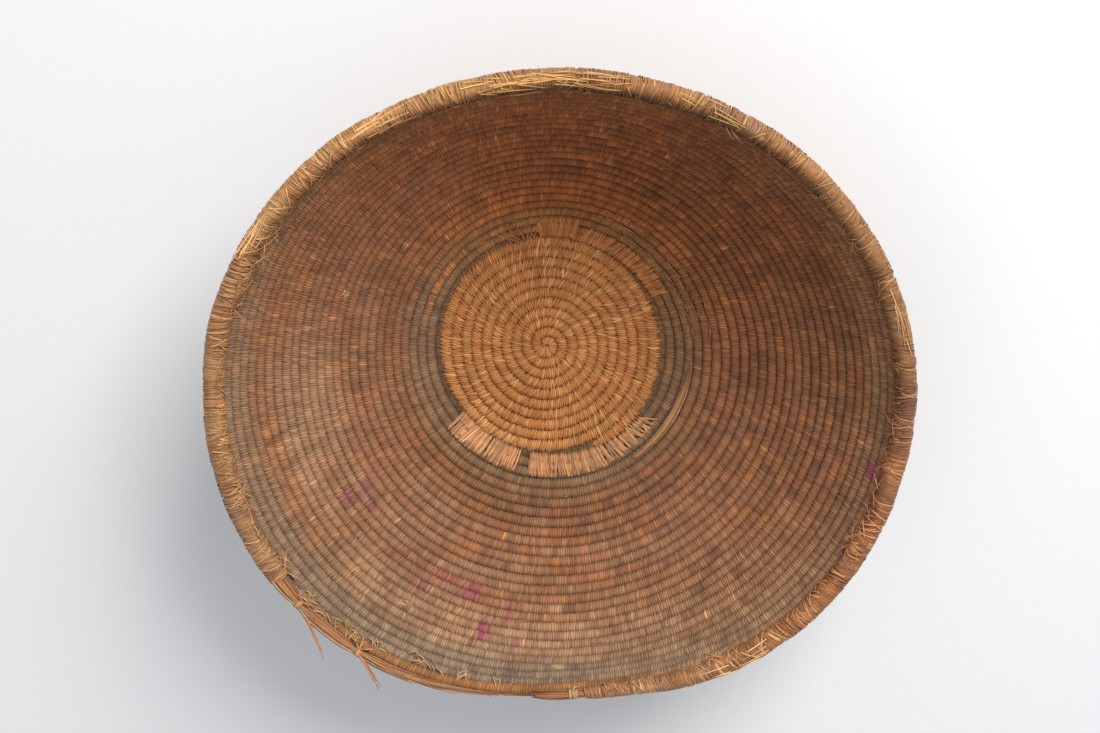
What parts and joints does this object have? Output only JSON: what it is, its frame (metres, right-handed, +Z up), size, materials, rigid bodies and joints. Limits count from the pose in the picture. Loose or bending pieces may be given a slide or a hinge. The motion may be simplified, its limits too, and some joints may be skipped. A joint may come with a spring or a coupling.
{
  "type": "winnowing basket",
  "caption": "Large round coiled straw basket with a flat base disc, a flaring wall and a thick overwrapped rim, for tossing grain.",
  "frame": {"origin": "centre of the flat underside of the base, at the start knot of the coil; the basket rests on z = 0", "axes": "+Z up out of the bowl; +X to the wider right side; -Y to the side where the rim's binding is lost"},
  "size_m": [0.6311, 0.5815, 0.2188],
  "materials": {
    "base_coil": "golden straw coil, close radial stitches",
    "wall_coil": "aged brown straw coil, close stitches, mottled grey and red brown",
    "lashing_strips": "flat dry straw strips laid side by side",
    "rim_strips": "golden brown straw strips wrapped over the rim, slightly shiny",
    "bare_straw": "bare reddish straw stems, satin"
  },
  "bodies": {
    "root": {"base_coil_round_01": "base_coil", "base_coil_round_02": "base_coil", "base_coil_round_03": "base_coil", "base_coil_round_04": "base_coil", "base_coil_round_05": "base_coil", "base_coil_round_06": "base_coil", "base_coil_round_07": "base_coil", "base_coil_round_08": "base_coil", "base_coil_round_09": "base_coil", "base_coil_round_10": "base_coil", "base_joining_round": "wall_coil", "base_lashing_bottom": "lashing_strips", "base_lashing_lower_left": "lashing_strips", "base_lashing_thin": "lashing_strips", "base_lashing_top": "lashing_strips", "base_lashing_upper_right": "lashing_strips", "base_start_knot": "base_coil", "exposed_core_strand": "bare_straw", "rim_bare_straw_bundle": "bare_straw", "rim_binding_left": "rim_strips", "rim_binding_lower_right": "rim_strips", "rim_binding_right": "rim_strips", "rim_binding_top": "rim_strips", "rim_binding_upper_left": "rim_strips", "rim_binding_upper_right": "rim_strips", "rim_core_bundle": "bare_straw", "rim_tie_lower": "rim_strips", "rim_tie_right": "rim_strips", "rim_tie_upper": "rim_strips", "wall_coil_round_01": "wall_coil", "wall_coil_round_02": "wall_coil", "wall_coil_round_03": "wall_coil", "wall_coil_round_04": "wall_coil", "wall_coil_round_05": "wall_coil", "wall_coil_round_06": "wall_coil", "wall_coil_round_07": "wall_coil", "wall_coil_round_08": "wall_coil", "wall_coil_round_09": "wall_coil", "wall_coil_round_10": "wall_coil", "wall_coil_round_11": "wall_coil", "wall_coil_round_12": "wall_coil", "wall_coil_round_13": "wall_coil", "wall_coil_round_14": "wall_coil", "wall_coil_round_15": "wall_coil", "wall_coil_round_16": "wall_coil", "wall_coil_round_17": "wall_coil", "wall_coil_round_18": "wall_coil", "wall_coil_round_19": "wall_coil", "wall_coil_round_20": "wall_coil", "wall_coil_round_21": "wall_coil", "wall_coil_round_22": "wall_coil", "wall_coil_round_23": "wall_coil", "wall_coil_round_24": "wall_coil", "wall_coil_round_25": "wall_coil", "wall_coil_round_26": "wall_coil"}
  },
  "joints": []
}
